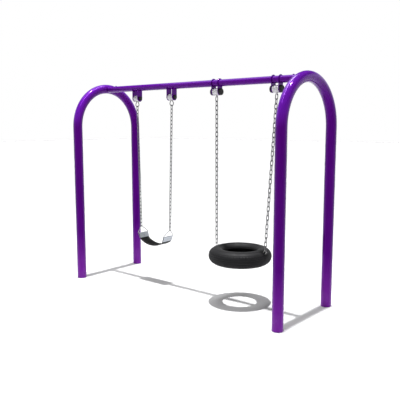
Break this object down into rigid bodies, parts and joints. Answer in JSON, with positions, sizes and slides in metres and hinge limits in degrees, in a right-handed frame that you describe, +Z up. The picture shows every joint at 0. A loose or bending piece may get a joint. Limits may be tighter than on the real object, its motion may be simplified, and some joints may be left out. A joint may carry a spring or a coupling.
{
  "type": "swing set",
  "caption": "Arched tube swing frame with a straight top beam, a rubber belt swing and a horizontal tyre swing, both hung on chains from bearing hangers.",
  "frame": {"origin": "on the ground, under the middle of the beam", "axes": "+X along the beam from the belt swing to the tyre swing, +Z up, +Y the way the swings go back"},
  "size_m": [3.1064, 1.1026, 2.497],
  "materials": {
    "purple_coat": "glossy powder coat",
    "galvanised_chain": "dull zinc",
    "housing_metal": "satin",
    "zinc_fastener": "bright zinc",
    "black_cap": "satin black",
    "bronze_bush": "dull",
    "nylon_washer": "natural white",
    "clamp_zinc": "bright zinc",
    "belt_rubber": "matt black",
    "tyre_rubber": "satin black"
  },
  "bodies": {
    "frame": {"arch_left": "purple_coat", "arch_right": "purple_coat", "beam": "purple_coat", "beam_spigot_left": "purple_coat", "beam_spigot_right": "purple_coat", "beam_bolts": "purple_coat", "beam_weld_nuts": "zinc_fastener", "belt_hanger_plates_left": "purple_coat", "belt_hanger_plates_right": "purple_coat", "tire_hanger_plates_left": "purple_coat", "tire_hanger_plates_right": "purple_coat", "belt_pivot_bolts": "zinc_fastener", "belt_pivot_nuts": "zinc_fastener", "belt_bolt_caps": "black_cap", "belt_thrust_washers": "nylon_washer", "tire_pivot_bolts": "zinc_fastener", "tire_pivot_nuts": "zinc_fastener", "tire_bolt_caps": "black_cap", "tire_thrust_washers": "nylon_washer"},
    "belt_line_left": {"belt_housing_left": "housing_metal", "belt_bushes_left": "bronze_bush", "belt_ring_left": "galvanised_chain", "belt_chain_left": "galvanised_chain"},
    "belt_line_right": {"belt_housing_right": "housing_metal", "belt_bushes_right": "bronze_bush", "belt_ring_right": "galvanised_chain", "belt_chain_right": "galvanised_chain"},
    "seat": {"seat_triangle_left": "galvanised_chain", "seat_triangle_right": "galvanised_chain", "seat_clamp_left": "clamp_zinc", "seat_clamp_right": "clamp_zinc", "seat_rivets": "zinc_fastener", "belt_seat": "belt_rubber", "belt_insert": "zinc_fastener"},
    "tire_line_left": {"tire_housing_left": "housing_metal", "tire_bushes_left": "bronze_bush", "tire_chain_left": "galvanised_chain"},
    "tire_line_right": {"tire_housing_right": "housing_metal", "tire_bushes_right": "bronze_bush", "tire_chain_right": "galvanised_chain"},
    "tire": {"tire": "tyre_rubber", "tire_u_bolt_left": "zinc_fastener", "tire_u_bolt_right": "zinc_fastener", "tire_backing_plate_left": "zinc_fastener", "tire_backing_plate_right": "zinc_fastener", "tire_u_bolt_nuts_left": "zinc_fastener", "tire_u_bolt_nuts_right": "zinc_fastener"}
  },
  "joints": [
    {"name": "belt_left_swing", "type": "hinge", "parent": "frame", "child": "belt_line_left", "pos_m": [-0.925, 0, 2.29995], "axis": [1, 0, 0], "range_deg": [-60, 60]},
    {"name": "belt_right_swing", "type": "hinge", "parent": "frame", "child": "belt_line_right", "pos_m": [-0.337, 0, 2.29995], "axis": [1, 0, 0], "range_deg": [-60, 60]},
    {"name": "belt_seat_tilt", "type": "hinge", "parent": "belt_line_left", "child": "seat", "pos_m": [-0.8833, 0, 0.6787], "axis": [1, 0, 0], "range_deg": [-30, 30]},
    {"name": "tire_left_swing", "type": "hinge", "parent": "frame", "child": "tire_line_left", "pos_m": [0.3467, 0, 2.33495], "axis": [1, 0, 0], "range_deg": [-60, 60]},
    {"name": "tire_right_swing", "type": "hinge", "parent": "frame", "child": "tire_line_right", "pos_m": [1.1282, 0, 2.33495], "axis": [1, 0, 0], "range_deg": [-60, 60]},
    {"name": "tire_tilt", "type": "hinge", "parent": "tire_line_left", "child": "tire", "pos_m": [0.3542, 0, 0.63207], "axis": [1, 0, 0], "range_deg": [-30, 30]}
  ],
  "couplings": [
    {"joint": "belt_right_swing", "follows": "belt_left_swing", "ratio": 1},
    {"joint": "tire_right_swing", "follows": "tire_left_swing", "ratio": 1}
  ]
}
